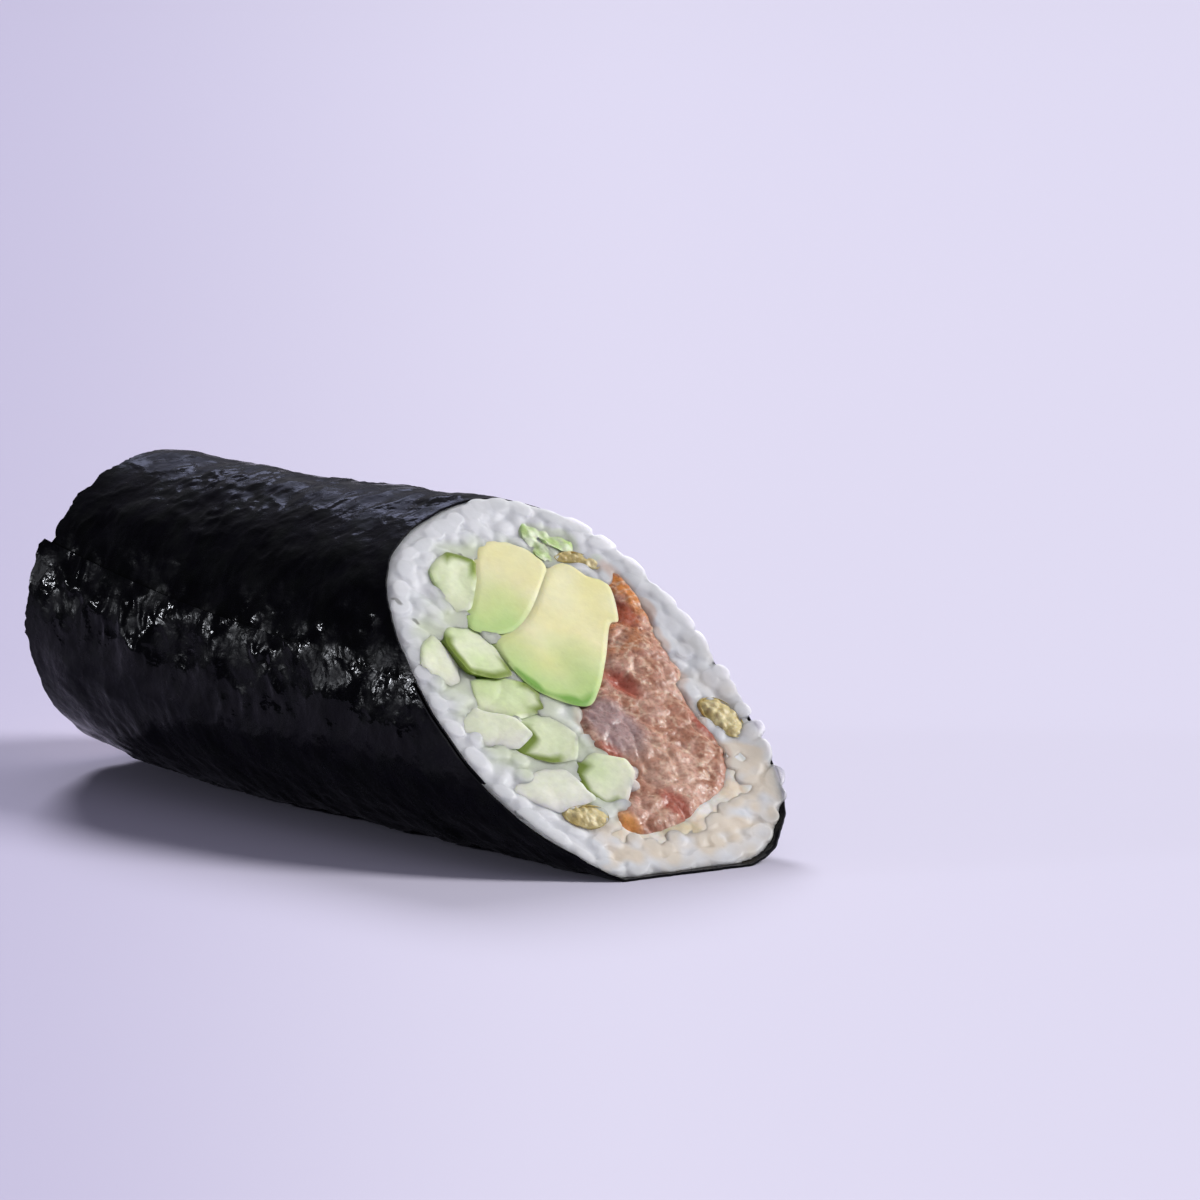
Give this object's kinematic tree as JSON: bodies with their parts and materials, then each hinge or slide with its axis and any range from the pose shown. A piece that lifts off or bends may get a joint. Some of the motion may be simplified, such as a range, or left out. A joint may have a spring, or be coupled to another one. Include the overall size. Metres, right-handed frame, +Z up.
{
  "type": "spicy tuna hand roll",
  "caption": "Half of a thick sushi roll cut on a slant: nori sheet round rice, minced tuna, avocado, cucumber sticks, leaf, creamy sauce and crisp crumbs.",
  "frame": {"origin": "middle of the box that holds the roll, on the surface it lies on", "axes": "+X along the roll towards the slanting cut, +Y to the far side, +Z up"},
  "size_m": [0.1412, 0.056, 0.0523],
  "materials": {
    "nori": "roasted seaweed, dark green-black, crinkled, slightly damp sheen",
    "rice": "cooked short-grain rice, sticky, faintly translucent white",
    "tuna": "minced raw tuna in a spicy dressing, moist brownish pink",
    "avocado": "ripe avocado flesh, pale yellow going to green on the skin side, smooth and moist",
    "cucumber": "cut cucumber, translucent pale green, wet",
    "mayo": "creamy peach-coloured sauce",
    "leaf": "fresh green leaf, crinkled",
    "crisp": "fried batter crumb, golden tan and porous"
  },
  "bodies": {
    "root": {"nori": "nori", "rice": "rice", "tuna": "tuna", "avocado_1": "avocado", "avocado_2": "avocado", "cucumber_1": "cucumber", "cucumber_2": "cucumber", "cucumber_3": "cucumber", "cucumber_4": "cucumber", "cucumber_5": "cucumber", "cucumber_6": "cucumber", "cucumber_7": "cucumber", "cucumber_8": "cucumber", "leaf": "leaf", "mayo": "mayo", "crisp_1": "crisp", "crisp_2": "crisp", "crisp_3": "crisp"}
  },
  "joints": []
}
